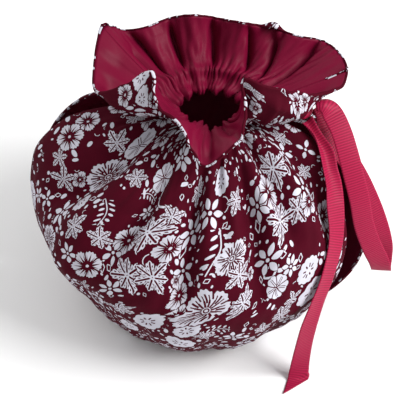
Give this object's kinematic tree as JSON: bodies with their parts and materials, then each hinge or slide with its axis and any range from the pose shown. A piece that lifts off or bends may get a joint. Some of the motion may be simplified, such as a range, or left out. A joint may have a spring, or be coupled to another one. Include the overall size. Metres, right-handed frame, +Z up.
{
  "type": "tea cosy",
  "caption": "Lined drawstring tea cosy in burgundy cotton with a white flower print, a gathered ruffle, spout and handle slits and a raspberry ribbon tie. It stands on its hem, with no teapot.",
  "frame": {"origin": "on the table, under the middle of the bounding box, 8 mm from the middle of the hem towards the ribbon", "axes": "+Z up through the neck, +X towards the handle side where the ribbon is tied, -X towards the spout side, -Y towards the front, where the ruffle dips"},
  "size_m": [0.2342, 0.2055, 0.1928],
  "materials": {
    "printed_cotton": "matt",
    "plain_cotton": "matt",
    "grosgrain": "satin"
  },
  "bodies": {
    "root": {"outer_front": "printed_cotton", "outer_back": "printed_cotton", "lining_front": "plain_cotton", "lining_back": "plain_cotton", "ribbon_lead": "grosgrain", "ribbon_knot": "grosgrain", "ribbon_loop": "grosgrain", "ribbon_front_tail": "grosgrain"}
  },
  "joints": []
}
